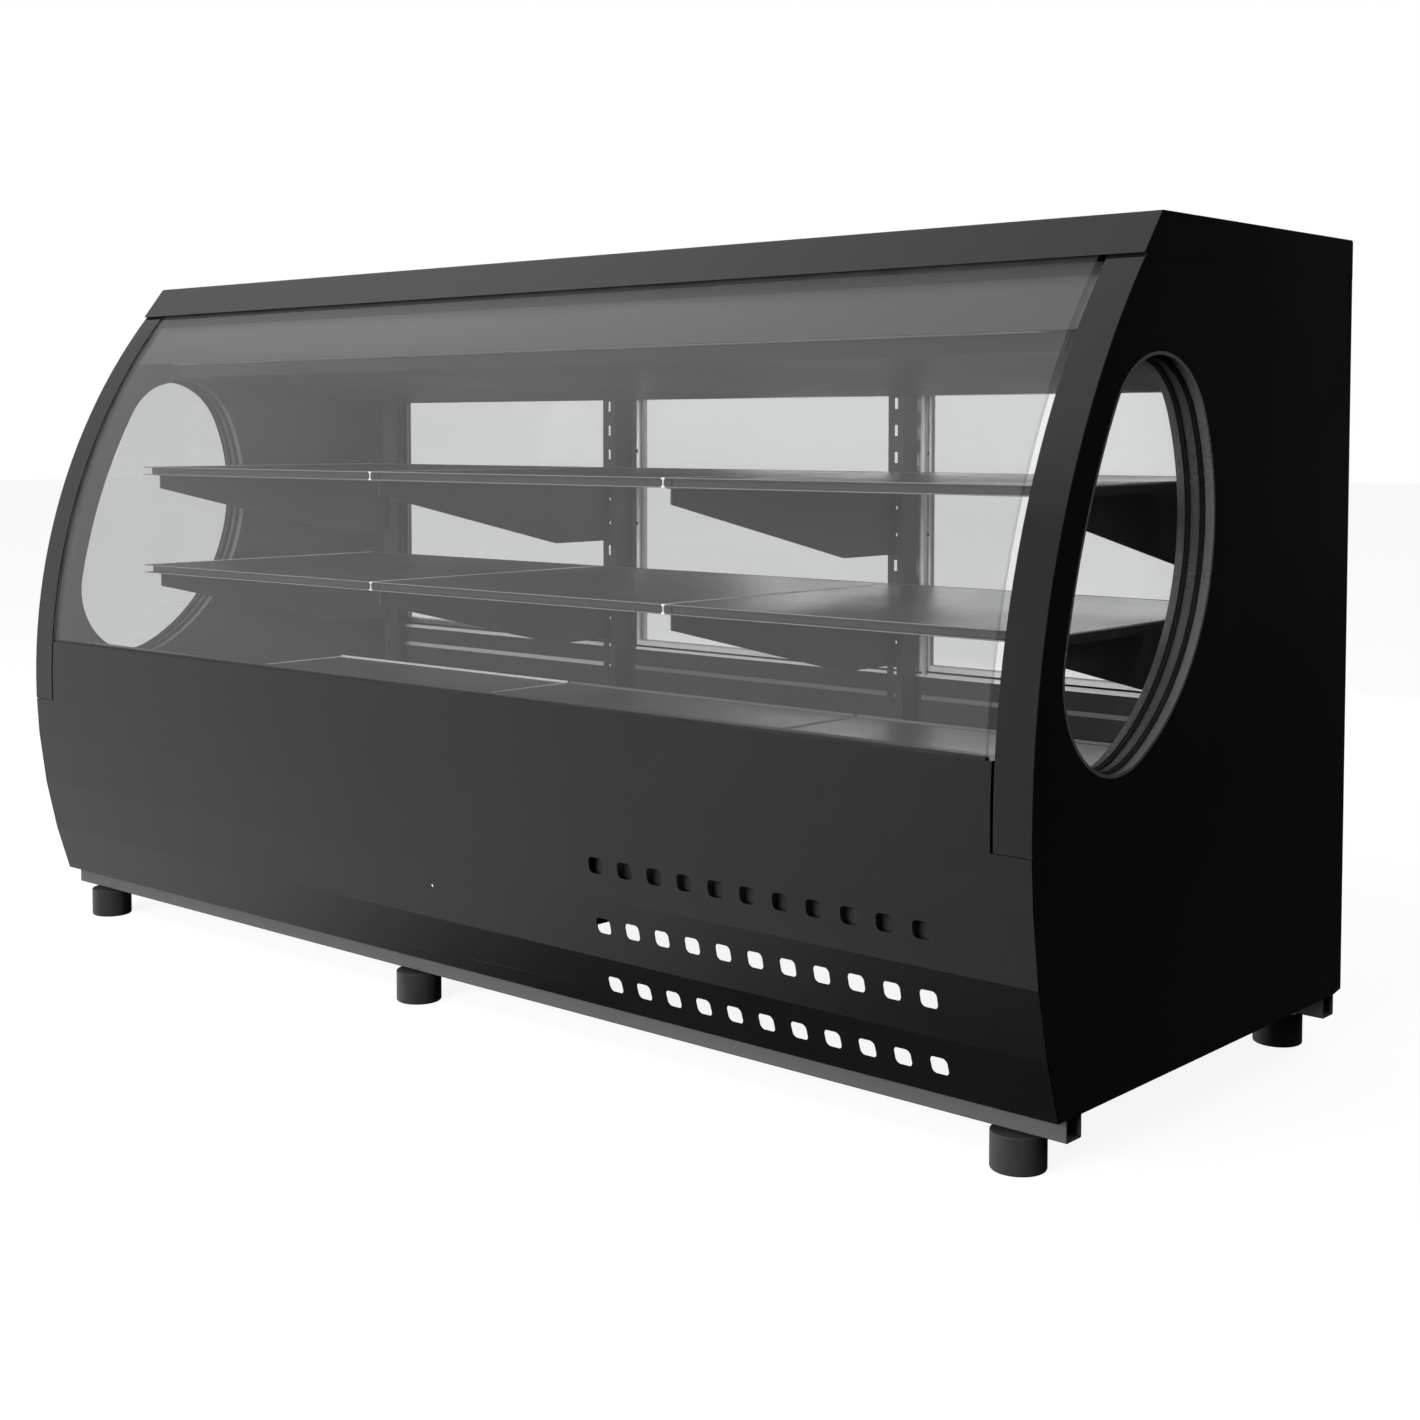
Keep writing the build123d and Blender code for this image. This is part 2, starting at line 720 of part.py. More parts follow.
# ---------------------------------------------------------------- rear doors
def door_spans():
    """Each door: its X range, its left and right stile, and the depth of its rear face."""
    inner, outer = SIDE_DOOR_X
    half = CENTRE_DOOR_HALF
    return {
        "left": (-outer, -inner, OUTER_STILE_W, STILE_W, OUTER_DOOR_D),
        "centre": (-half, half, STILE_W, STILE_W, INNER_DOOR_D),
        "right": (inner, outer, STILE_W, OUTER_STILE_W, OUTER_DOOR_D),
    }


def door_frame(x0, x1, left, right, d):
    """Aluminium door frame with a rebate for its glass."""
    z0, z1 = DOOR_Z
    frame = block(x0, x1, d, d + DOOR_T, z0, z1)
    frame = chamfer(frame.edges().filter_by(Axis.Z), 1.0)
    opening = block(
        x0 + left, x1 - right, d - 1, d + DOOR_T + 1, z0 + BOTTOM_RAIL, z1 - TOP_RAIL
    )
    line = 1.2
    for edge_x in (x0 + left - 14, x1 - right + 14):
        groove = block(edge_x - line, edge_x + line, d + DOOR_T - 0.8, d + DOOR_T + 1, z0, z1)
        frame -= groove
    return frame - opening - door_glass(x0, x1, left, right, d)


def door_glass(x0, x1, left, right, d):
    """Glass of a sliding door."""
    z0, z1 = DOOR_Z[0] + BOTTOM_RAIL - REBATE, DOOR_Z[1] - TOP_RAIL + REBATE
    low_x, high_x = x0 + left - REBATE, x1 - right + REBATE
    middle = d + DOOR_T / 2
    return block(low_x, high_x, middle - DOOR_GLASS_T / 2, middle + DOOR_GLASS_T / 2, z0, z1)


def door_pull(edge, side, d):
    """Flush finger plate on the stile at one edge, with two screw heads on the inner side."""
    x = edge + side * PULL_INSET
    low, high = PULL_Z - PULL_H / 2, PULL_Z + PULL_H / 2
    plate = block(x - PULL_W / 2, x + PULL_W / 2, d - PULL_T, d, low, high)
    plate = fillet(plate.edges().filter_by(Axis.Y), 6)
    cup = block(x - 6, x + 6, d - PULL_T - 1, d - 0.5, low + 22, high - 22)
    plate -= fillet(cup.edges().filter_by(Axis.Y), 5)
    screw_x = x + side * PULL_SCREWS
    heads = []
    for z in (PULL_Z - PULL_PITCH / 2, PULL_Z + PULL_PITCH / 2):
        head = rod_y(screw_x, d + DOOR_T, d + DOOR_T + 1.0, z, 3.4)
        heads.append(head - rod_y(screw_x, d + DOOR_T + 0.5, d + DOOR_T + 2, z, 1.5))
    return Compound([plate.solid()] + [head.solid() for head in heads])


def lower_track():
    """Twin-groove track on the sill."""
    low, high = LOWER_TRACK_Z
    track = block(-INNER_X, INNER_X, SKIN_T, TRACK_RIBS[-1] + RIB_T, low, low + 2.6)
    for d in TRACK_RIBS:
        track += block(-INNER_X, INNER_X, d, d + RIB_T, low, high)
    return track


def upper_track():
    """Twin-groove track under the rear header."""
    low, high = UPPER_TRACK_Z
    track = block(-INNER_X, INNER_X, SKIN_T, TRACK_RIBS[-1] + RIB_T, high - 2.6, high)
    for d in TRACK_RIBS:
        track += block(-INNER_X, INNER_X, d, d + RIB_T, low, high)
    return track


# ---------------------------------------------------------------- rear panel and controls
def rear_panel():
    """Painted rear panel with louvres, the control opening and the notch for the pan."""
    panel = block(-INNER_X, INNER_X, 0, SKIN_T, BASE + 4, SILL_Z)
    for row in range(5):
        for column in range(6):
            x = 330 + column * 92
            z = 108 + row * 26
            louvre = block(x - 36, x + 36, -1, SKIN_T + 1, z - 4, z + 4)
            panel -= fillet(louvre.edges().filter_by(Axis.Y), 3.9)
    x0, x1 = CONTROL_X
    z0, z1 = CONTROL_Z
    panel -= block(x0 + 2, x1 - 2, -1, SKIN_T + 1, z0 + 2, z1 - 2)
    panel -= rod_y(GLAND[0], -1, SKIN_T + 1, GLAND[1], 8)
    panel -= block(PAN_X[0] - 2, PAN_X[1] + 2, -1, SKIN_T + 1, BASE, UNIT_TOP + PAN_H + 4)
    return panel


def control_box():
    """Recessed box. Its face plate is bored for the knob and cut for the switches."""
    x0, x1 = CONTROL_X
    z0, z1 = CONTROL_Z
    box = block(x0, x1, SKIN_T, CONTROL_D + 46, z0, z1)
    recess = block(x0 + 2, x1 - 2, SKIN_T - 1, CONTROL_D, z0 + 2, z1 - 2)
    room = block(x0 + 2, x1 - 2, CONTROL_D + 2, CONTROL_D + 44, z0 + 2, z1 - 2)
    box = box - recess - room
    middle = (z0 + z1) / 2
    box -= rod_y(KNOB_X, CONTROL_D - 1, CONTROL_D + 3, middle, 4.05)
    for x in SWITCH_X:
        box -= block(
            x - SWITCH_W / 2 - 0.6,
            x + SWITCH_W / 2 + 0.6,
            CONTROL_D - 1,
            CONTROL_D + 3,
            middle - SWITCH_H / 2 - 0.6,
            middle + SWITCH_H / 2 + 0.6,
        )
    return box


def thermostat_knob():
    """Round knob with a grip bar, on its shaft."""
    z = sum(CONTROL_Z) / 2
    body = rod_y(KNOB_X, CONTROL_D - 15, CONTROL_D - 1, z, KNOB_R)
    body = fillet(body.edges().sort_by(Axis.Y)[-1], 2.5)
    grip = block(KNOB_X - 3.5, KNOB_X + 3.5, CONTROL_D - 19, CONTROL_D - 14, z - 15, z + 17)
    grip = fillet(grip.edges().filter_by(Axis.Y), 2)
    shaft = rod_y(KNOB_X, CONTROL_D - 2, CONTROL_D + 14, z, 4.0)
    return body + grip + shaft


def rocker(x):
    """Rocker key: two faces meeting at a shallow ridge, on a short pivot body."""
    z = sum(CONTROL_Z) / 2
    half = SWITCH_H / 2 - 0.4
    section = end_face(
        Polyline(
            at(CONTROL_D - 5.0, z + half),
            at(CONTROL_D - 2.2, z),
            at(CONTROL_D - 2.2, z - half),
            at(CONTROL_D + 5.0, z - half + 2.5),
            at(CONTROL_D + 8.0, z),
            at(CONTROL_D + 5.0, z + half - 2.5),
            close=True,
        )
    )
    key = along(section, x - SWITCH_W / 2, x + SWITCH_W / 2)
    reach = SWITCH_W / 2 + ROCKER_PIN
    return key + rod_x(x - reach, x + reach, CONTROL_D + ROCKER_AXIS, z, ROCKER_PIN_R)


def cord_gland():
    """Cable gland through the rear panel."""
    x, z = GLAND
    nut = rod_y(x, SKIN_T, 8, z, 12)
    neck = rod_y(x, 0.2, 24, z, 8) - rod_y(x, -1, 30, z, 4.2)
    return (nut - rod_y(x, -1, 30, z, 8)) + neck


# ---------------------------------------------------------------- machine compartment
def unit_base():
    """Tray across the frame that carries the machine, the pan and the controls."""
    half = INNER_X - 8
    rear, front = UNIT_D
    plate = block(-half, half, rear, front, BASE, UNIT_TOP)
    plate += block(-half, half, front - UNIT_T, front, BASE, BASE + 14)
    return plate + block(-half, half, rear, rear + UNIT_T, BASE, UNIT_TOP)


def compressor():
    """Hermetic compressor: domed can on a foot plate with four mounts."""
    x, d = COMPRESSOR_X, COMPRESSOR_D
    can = rod_z(x, d, UNIT_TOP + 14, UNIT_TOP + 148, COMPRESSOR_R)
    can = fillet(can.edges().filter_by(GeomType.CIRCLE), 24)
    seam = rod_z(x, d, UNIT_TOP + 78, UNIT_TOP + 84, COMPRESSOR_R + 3)
    plate = block(x - 88, x + 88, d - 62, d + 62, UNIT_TOP + 10, UNIT_TOP + 15)
    body = can + seam + fillet(plate.edges().filter_by(Axis.Z), 12)
    for sx in (-74, 74):
        for sd in (-48, 48):
            body += rod_z(x + sx, d + sd, UNIT_TOP, UNIT_TOP + 18, 9)
    return body


def coil(x0, x1, d0, d1, z0, z1, fins):
    """Finned block: end plates, thin fins and tubes through them."""
    block_set = block(x0, x0 + 2, d0, d1, z0, z1) + block(x1 - 2, x1, d0, d1, z0, z1)
    pitch = (x1 - x0) / (fins + 1)
    for i in range(fins):
        x = x0 + (i + 1) * pitch
        block_set += block(x - 0.6, x + 0.6, d0 + 2, d1 - 2, z0 + 3, z1 - 3)
    rows = max(2, round((z1 - z0) / 36))
    for row in range(rows):
        z = z0 + (row + 0.5) * (z1 - z0) / rows
        for d in (d0 + (d1 - d0) * 0.3, d0 + (d1 - d0) * 0.7):
            block_set += rod_x(x0 - 8, x1 + 8, d, z, 5)
    return block_set


def condenser():
    """Condenser coil with its fan shroud."""
    body = coil(*COIL_X, *COIL_D, *COIL_Z, 42)
    shroud = block(COIL_X[0], COIL_X[1], FAN_D - 10, COIL_D[0], *COIL_Z)
    inside = block(
        COIL_X[0] + 2, COIL_X[1] - 2, FAN_D - 8, COIL_D[0] + 1, COIL_Z[0] + 2, COIL_Z[1] - 2
    )
    mouth = rod_y(FAN_X, FAN_D - 12, FAN_D - 6, FAN_Z, FAN_R + 5)
    feet = block(COIL_X[0], COIL_X[1], COIL_D[0] - 18, COIL_D[0], UNIT_TOP, COIL_Z[0] + 2)
    return body + (shroud - inside - mouth) + feet


def fan(x, d, z, radius, blades, bore):
    """Axial fan: a bored hub and pitched blades, turning about Y."""
    hub = rod_y(x, d - 8, d + 8, z, radius * 0.28)
    wheel = hub
    for i in range(blades):
        blade = Pos(radius * 0.6, 0, 0) * Rot(32, 0, 0) * Box(radius * 0.76, radius * 0.5, 1.6)
        blade = Rot(90, 0, 0) * Rot(0, 0, i * 360 / blades) * blade
        wheel += Pos(x, REAR - d, z) * blade
    return wheel - rod_y(x, d - 9, d + 9, z, bore)


def fan_motor():
    """Condenser fan motor on a strap, with the shaft that the blade turns on."""
    can = rod_y(FAN_X, FAN_D + 12, FAN_D + 34, FAN_Z, 24)
    can = fillet(can.edges().filter_by(GeomType.CIRCLE), 3)
    shaft = rod_y(FAN_X, FAN_D - 12, FAN_D + 13, FAN_Z, 4.0)
    strap = block(COIL_X[0] + 2, COIL_X[1] - 2, FAN_D + 30, FAN_D + 33, FAN_Z - 9, FAN_Z + 9)
    return can + shaft + strap


def refrigerant_lines():
    """Copper pipes from the compressor to the coil and up into the tub."""
    side = COMPRESSOR_X - COMPRESSOR_R
    y = REAR - COMPRESSOR_D
    coil_y = REAR - COIL_D[0] - 0.3 * (COIL_D[1] - COIL_D[0])
    path = FilletPolyline(
        (side, y, 150),
        (side - 48, y, 150),
        (side - 48, y, 174),
        (side - 48, coil_y, 174),
        (COIL_X[1] + 8, coil_y, 174),
        radius=11,
    )
    pipe = sweep(Plane(origin=path @ 0, z_dir=path % 0) * Circle(4), path=path)
    rise = FilletPolyline((side, y, 190), (side - 24, y, 190), (side - 24, y, TUB_FLOOR), radius=14)
    riser = sweep(Plane(origin=rise @ 0, z_dir=rise % 0) * Circle(5), path=rise)
    return Compound([pipe.solid(), riser.solid()])


def evaporator():
    """Evaporator coil in the tub, with the plate and shaft of its fan."""
    body = coil(*EVAP_X, *EVAP_D, *EVAP_Z, 40)
    plate = block(-90, 90, EVAP_FAN_D + 22, EVAP_FAN_D + 24, EVAP_Z[0], EVAP_Z[1])
    plate -= rod_y(EVAP_FAN_X, EVAP_FAN_D + 20, EVAP_FAN_D + 26, EVAP_FAN_Z, EVAP_FAN_R + 2)
    arm = block(-90, 90, EVAP_FAN_D + 24, EVAP_FAN_D + 28, EVAP_FAN_Z - 6, EVAP_FAN_Z + 6)
    shaft = rod_y(EVAP_FAN_X, EVAP_FAN_D - 12, EVAP_FAN_D + 25, EVAP_FAN_Z, 3.0)
    motor = rod_y(EVAP_FAN_X, EVAP_FAN_D + 26, EVAP_FAN_D + 50, EVAP_FAN_Z, 18)
    ties = block(-90, -84, EVAP_FAN_D + 24, EVAP_D[0] + 6, EVAP_Z[0], EVAP_Z[0] + 30)
    ties += block(84, 90, EVAP_FAN_D + 24, EVAP_D[0] + 6, EVAP_Z[0], EVAP_Z[0] + 30)
    return body + plate + arm + shaft + motor + ties


def condensate_pan():
    """Drip pan that draws out to the rear, with a finger lip."""
    x0, x1 = PAN_X
    rear, front = PAN_D
    low = UNIT_TOP + 0.5
    pan = block(x0, x1, rear, front, low, low + PAN_H)
    pan -= block(x0 + 2, x1 - 2, rear + 2, front - 2, low + 2, low + PAN_H + 1)
    lip = block(x0 + 60, x1 - 60, 0.5, rear, low + PAN_H - 8, low + PAN_H - 5)
    return pan + lip


def drain_tube():
    """Drain from the tub floor to just above the pan."""
    top = TUB_FLOOR + TUB_FOAM
    tube = rod_z(-520.0, 180, UNIT_TOP + PAN_H + 8, top, 10.5)
    return tube - rod_z(-520.0, 180, UNIT_TOP, top + 1, 8)


# ---------------------------------------------------------------- assembly
def both(solid):
    """A piece of the right end and its mirror image, as separate solids of one node."""
    return Compound([solid.solid(), mirrored(solid).solid()])


def group(solids):
    """Separate solids that share one node."""
    return Compound([one for solid in solids for one in solid.solids()])


def nodes():
    """Every sub-part by name."""
    skin = end_skin()
    front_foot_d = FRONT_RAIL_D - RAIL_W / 2
    rear_foot_d = REAR_RAIL_D + RAIL_W / 2
    feet = [levelling_foot(x, d) for x in FOOT_X for d in (front_foot_d, rear_foot_d)]
    panes = [pane(depth) for depth in PANE_DEPTHS]
    gaskets = [gasket(depth) for depth in PANE_DEPTHS]
    posts = [end_post(-1), left_post(), right_post(), end_post(1)]
    stations = (-END_POST_X, -POST_X, POST_X, END_POST_X)
    brackets = [
        shelf_bracket(x, top - SHELF_LIP, lugs)
        for top, lugs in zip(SHELF_TOPS, LUG_SLOTS)
        for x in stations
    ]
    pulls = {
        "left": (-SIDE_DOOR_X[0], -1, OUTER_DOOR_D),
        "centre": (-CENTRE_DOOR_HALF, 1, INNER_DOOR_D),
        "right": (SIDE_DOOR_X[0], 1, OUTER_DOOR_D),
    }
    doors = door_spans()
    made = {
        "front_rail": rail(FRONT_RAIL_D - RAIL_W),
        "rear_rail": rail(REAR_RAIL_D),
        "cross_members": group([cross_member(x) for x in FOOT_X]),
        "levelling_feet": group(feet),
        "right_end_skin": skin,
        "left_end_skin": mirrored(skin),
        "end_foam_cores": both(end_foam()),
        "end_liners": both(end_liner()),
        "porthole_sleeves": both(porthole_sleeve()),
        "porthole_panes": group(panes + [mirrored(p) for p in panes]),
        "porthole_gaskets": group(gaskets + [mirrored(g) for g in gaskets]),
        "top_cap": top_cap(),
        "rear_header": rear_header(),
        "canopy_liner": canopy_liner(),
        "lamp_housing": lamp_housing(),
        "lamp_diffuser": lamp_diffuser(),
        "front_glass": front_glass(),
        "glass_channels": group(
            [
                glass_channel(GLASS_FOOT - 3, GLASS_FOOT, 0.5),
                glass_channel(SEAM, GLASS_HEAD, -14),
            ]
        ),
        "glass_edge_seals": both(edge_seal()),
        "front_fascia": front_fascia(),
        "tub_foam": tub_foam(),
        "tub_liner": tub_liner(),
        "shelf_posts": group(posts),
        "shelf_brackets": group(brackets),
        "lower_track": lower_track(),
        "upper_track": upper_track(),
        "rear_panel": rear_panel(),
        "control_box": control_box(),
        "thermostat_knob": thermostat_knob(),
        "power_switch": rocker(SWITCH_X[0]),
        "light_switch": rocker(SWITCH_X[1]),
        "cord_gland": cord_gland(),
        "unit_base": unit_base(),
        "compressor": compressor(),
        "condenser": condenser(),
        "fan_motor": fan_motor(),
        "fan_blade": fan(FAN_X, FAN_D, FAN_Z, FAN_R, 5, 4.05),
        "refrigerant_lines": refrigerant_lines(),
        "evaporator": evaporator(),
        "evaporator_fan": fan(EVAP_FAN_X, EVAP_FAN_D, EVAP_FAN_Z, EVAP_FAN_R, 5, 3.05),
        "condensate_pan": condensate_pan(),
        "drain_tube": drain_tube(),
    }
    for name, (x0, x1) in bays().items():
        made["deck_tray_" + name] = deck_tray(x0, x1)
        made["upper_shelf_" + name] = shelf(x0, x1, SHELF_TOPS[0])
        made["lower_shelf_" + name] = shelf(x0, x1, SHELF_TOPS[1])
        made["door_frame_" + name] = door_frame(*doors[name])
        made["door_glass_" + name] = door_glass(*doors[name])
        made["door_pull_" + name] = door_pull(*pulls[name])
    return made


os.makedirs("parts", exist_ok=True)
for node, shape in nodes().items():
    export_step(shape, "parts/" + node + ".step")
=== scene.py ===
import json
import math

import bmesh
import bpy
from mathutils import Matrix, Vector


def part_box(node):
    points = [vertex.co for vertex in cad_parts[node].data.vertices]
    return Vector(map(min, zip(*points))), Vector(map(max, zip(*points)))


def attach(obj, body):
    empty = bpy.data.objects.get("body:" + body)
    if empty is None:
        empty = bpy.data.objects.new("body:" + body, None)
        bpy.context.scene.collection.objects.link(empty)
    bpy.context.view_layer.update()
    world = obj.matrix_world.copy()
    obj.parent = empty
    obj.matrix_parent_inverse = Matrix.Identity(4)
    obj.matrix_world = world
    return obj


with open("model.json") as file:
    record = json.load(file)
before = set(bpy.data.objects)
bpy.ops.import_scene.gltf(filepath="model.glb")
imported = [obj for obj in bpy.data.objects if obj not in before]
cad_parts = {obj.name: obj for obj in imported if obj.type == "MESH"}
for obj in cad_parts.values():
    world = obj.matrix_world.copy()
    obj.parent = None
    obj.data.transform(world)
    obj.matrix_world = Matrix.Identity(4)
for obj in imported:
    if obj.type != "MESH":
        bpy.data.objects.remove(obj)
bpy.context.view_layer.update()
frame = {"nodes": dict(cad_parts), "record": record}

NODES = frame["nodes"]
SLOTS = {row["node"]: row["material_slot"] for row in frame["record"]["subparts"]}
BAYS = ("left", "centre", "right")


# ---------------------------------------------------------------- node helpers
class Tree:
    """Builds the nodes of one material or of the world."""

    def __init__(self, owner, output, space):
        self.owner = owner
        owner.use_nodes = True
        self.tree = owner.node_tree
        self.tree.nodes.clear()
        self.output = self.node(output)
        self.coords = self.node("ShaderNodeTexCoord").outputs[space]

    def node(self, kind, **settings):
        made = self.tree.nodes.new(kind)
        for key, value in settings.items():
            setattr(made, key, value)
        return made

    def link(self, source, target):
        self.tree.links.new(source, target)

    def surface(self, source):
        self.link(source, self.output.inputs["Surface"])

    def split(self, vector):
        made = self.node("ShaderNodeSeparateXYZ")
        self.link(vector, made.inputs[0])
        return made.outputs

    def scaled(self, scale):
        mapping = self.node("ShaderNodeMapping")
        mapping.inputs["Scale"].default_value = scale
        self.link(self.coords, mapping.inputs["Vector"])
        return mapping.outputs["Vector"]

    def noise(self, scale, detail=4.0, roughness=0.55, vector=None):
        made = self.node("ShaderNodeTexNoise")
        made.inputs["Scale"].default_value = scale
        made.inputs["Detail"].default_value = detail
        made.inputs["Roughness"].default_value = roughness
        self.link(vector or self.coords, made.inputs["Vector"])
        return made.outputs["Fac"]

    def cells(self, scale):
        made = self.node("ShaderNodeTexVoronoi")
        made.inputs["Scale"].default_value = scale
        self.link(self.coords, made.inputs["Vector"])
        return made.outputs["Distance"]

    def span(self, source, low, high, start=0.3, end=0.7, smooth=False):
        """Carries the source's range, start to end, over to low to high."""
        made = self.node("ShaderNodeMapRange")
        if smooth:
            made.interpolation_type = "SMOOTHSTEP"
        made.inputs["From Min"].default_value = start
        made.inputs["From Max"].default_value = end
        made.inputs["To Min"].default_value = low
        made.inputs["To Max"].default_value = high
        self.link(source, made.inputs["Value"])
        return made.outputs["Result"]

    def math(self, operation, first, second):
        made = self.node("ShaderNodeMath", operation=operation)
        for socket, value in zip(made.inputs, (first, second)):
            if isinstance(value, (int, float)):
                socket.default_value = value
            else:
                self.link(value, socket)
        return made.outputs["Value"]

    def tint(self, factor, dark, light):
        made = self.node("ShaderNodeMix", data_type="RGBA")
        colours = [s for s in made.inputs if s.type == "RGBA"]
        colours[0].default_value = (*dark, 1)
        colours[1].default_value = (*light, 1)
        self.link(factor, made.inputs["Factor"])
        return [s for s in made.outputs if s.type == "RGBA"][0]

    def bump(self, height, strength, distance):
        made = self.node("ShaderNodeBump")
        made.inputs["Strength"].default_value = strength
        made.inputs["Distance"].default_value = distance
        self.link(height, made.inputs["Height"])
        return made.outputs["Normal"]

    def mix(self, share, first, second):
        """Two shaders, the second one taking the given share."""
        made = self.node("ShaderNodeMixShader")
        self.link(share, made.inputs["Fac"])
        self.link(first, made.inputs[1])
        self.link(second, made.inputs[2])
        return made.outputs[0]

    def shining(self, kind, strength):
        """A white emission or background shader."""
        made = self.node(kind)
        made.inputs["Color"].default_value = (1, 1, 1, 1)
        if isinstance(strength, bpy.types.NodeSocket):
            self.link(strength, made.inputs["Strength"])
        else:
            made.inputs["Strength"].default_value = strength
        return made.outputs[0]

    def principled(self, **values):
        made = self.node("ShaderNodeBsdfPrincipled")
        for name, value in values.items():
            socket = made.inputs[name.replace("_", " ")]
            if isinstance(value, bpy.types.NodeSocket):
                self.link(value, socket)
            else:
                socket.default_value = value
        self.surface(made.outputs["BSDF"])


def material_tree(name):
    return Tree(bpy.data.materials.new(name), "ShaderNodeOutputMaterial", "Object")


def grey(level):
    return (level,) * 3


# ---------------------------------------------------------------- materials
FINE_BUMP = 0.0003
LONG_GRAIN = (2.0, 400.0, 400.0)
SATIN_METAL = 0.05
GLASS_HEAD_ON = 0.042
GLASS_POWER = 5.0


def painted(name, dark, light, rough, wear, orange_peel):
    """Powder or enamel paint: faint mottling, orange peel, and a little lighter wear on edges."""
    t = material_tree(name)
    blotch = t.noise(3.0, 5.0)
    edge = t.node("ShaderNodeNewGeometry").outputs["Pointiness"]
    worn = t.math("MULTIPLY", t.span(edge, 0.0, wear, 0.52, 0.6), t.noise(60.0, 6.0))
    mottle = t.math("MULTIPLY", t.span(blotch, 0.0, 1.0), 0.6)
    sheen = t.span(blotch, rough * 0.8, rough * 1.2)
    t.principled(
        Base_Color=t.tint(t.math("ADD", mottle, worn), dark, light),
        Roughness=t.math("ADD", sheen, t.span(t.noise(180.0, 2.0), 0.0, 0.03)),
        Normal=t.bump(t.noise(150.0, 1.0), orange_peel, FINE_BUMP),
    )
    return t.owner


def drawn(t, grain, rough):
    """Streaks along one axis, and the roughness and normal they give."""
    streak = t.noise(1.0, 3.0, 0.6, t.scaled(grain))
    finish = {
        "Roughness": t.span(streak, rough * 0.8, rough * 1.25),
        "Normal": t.bump(streak, 0.06, FINE_BUMP),
    }
    return streak, finish


def brushed(name, dark, light, rough, grain=LONG_GRAIN, metallic=1.0):
    """Drawn or brushed metal, its grain running along one axis."""
    t = material_tree(name)
    streak, finish = drawn(t, grain, rough)
    cloud = t.noise(5.0, 4.0)
    shade = t.math("MULTIPLY", t.span(streak, 0.2, 1.0), t.span(cloud, 0.7, 1.0))
    t.principled(Base_Color=t.tint(shade, dark, light), Metallic=metallic, **finish)
    return t.owner


def front_shaded(name, front, rest, rough):
    """Brushed frame whose front face carries painted shade, darker than its other faces."""
    t = material_tree(name)
    streak, finish = drawn(t, LONG_GRAIN, rough)
    normal = t.split(t.node("ShaderNodeNewGeometry").outputs["True Normal"])
    other = t.span(normal["Y"], 0.0, 1.0, -0.95, -0.6)
    shade = t.math("MULTIPLY", other, t.span(streak, 0.94, 1.0))
    t.principled(Base_Color=t.tint(shade, front, rest), Metallic=SATIN_METAL, **finish)
    return t.owner


def moulded(name, dark, light, rough, grain=700.0, depth=0.12, specular=0.4):
    """Moulded plastic or rubber with a fine leathery grain."""
    t = material_tree(name)
    cloud = t.noise(14.0, 5.0)
    t.principled(
        Base_Color=t.tint(t.span(cloud, 0.0, 1.0), dark, light),
        Roughness=t.span(cloud, rough * 0.85, rough * 1.15),
        Normal=t.bump(t.cells(grain), depth, FINE_BUMP),
        Specular_IOR_Level=specular,
    )
    return t.owner


def pane(name, tint, gloss, smear, haze=None, dust=0.0, graze=0.9):
    """Float glass: tinted see-through, with a mirror share that grows at grazing angles."""
    t = material_tree(name)
    facing = t.node("ShaderNodeLayerWeight").outputs["Facing"]
    grazing = t.math("MULTIPLY", t.math("POWER", facing, GLASS_POWER), graze)
    mirror = t.math("MULTIPLY", t.math("ADD", grazing, GLASS_HEAD_ON), gloss)
    wipe = t.noise(1.0, 5.0, 0.6, t.scaled((2.0, 6.0, 9.0)))
    glossy = t.node("ShaderNodeBsdfGlossy")
    t.link(t.span(wipe, 0.0, smear), glossy.inputs["Roughness"])
    clear = t.node("ShaderNodeBsdfTransparent")
    dimmer = tuple(c * 0.99 for c in tint)
    t.link(t.tint(t.span(wipe, 0.0, 1.0), tint, dimmer), clear.inputs["Color"])
    glass = t.mix(mirror, clear.outputs[0], glossy.outputs[0])
    if haze:
        film = t.node("ShaderNodeBsdfDiffuse")
        film.inputs["Color"].default_value = (*haze, 1)
        glass = t.mix(t.span(wipe, dust * 0.85, dust * 1.15), glass, film.outputs[0])
    t.surface(glass)
    return t.owner


def foam(name):
    """Cut rigid foam."""
    t = material_tree(name)
    pores = t.cells(350.0)
    t.principled(
        Base_Color=t.tint(pores, (0.55, 0.47, 0.3), (0.78, 0.7, 0.5)),
        Roughness=0.9,
        Normal=t.bump(pores, 0.5, 0.001),
    )
    return t.owner


def milky(name):
    """Milky lamp diffuser with fine ribs."""
    t = material_tree(name)
    wave = t.node("ShaderNodeTexWave")
    wave.inputs["Scale"].default_value = 120.0
    t.link(t.coords, wave.inputs["Vector"])
    rib = wave.outputs["Fac"]
    t.principled(
        Base_Color=t.tint(rib, (0.75, 0.75, 0.73), (0.85, 0.85, 0.84)),
        Roughness=0.45,
        Normal=t.bump(rib, 0.1, 0.0005),
    )
    return t.owner


def satin(name, dark, light, rough):
    """Brushed grey metal with a pale satin coat, which mirrors little."""
    return brushed(name, grey(dark), grey(light), rough, metallic=SATIN_METAL)


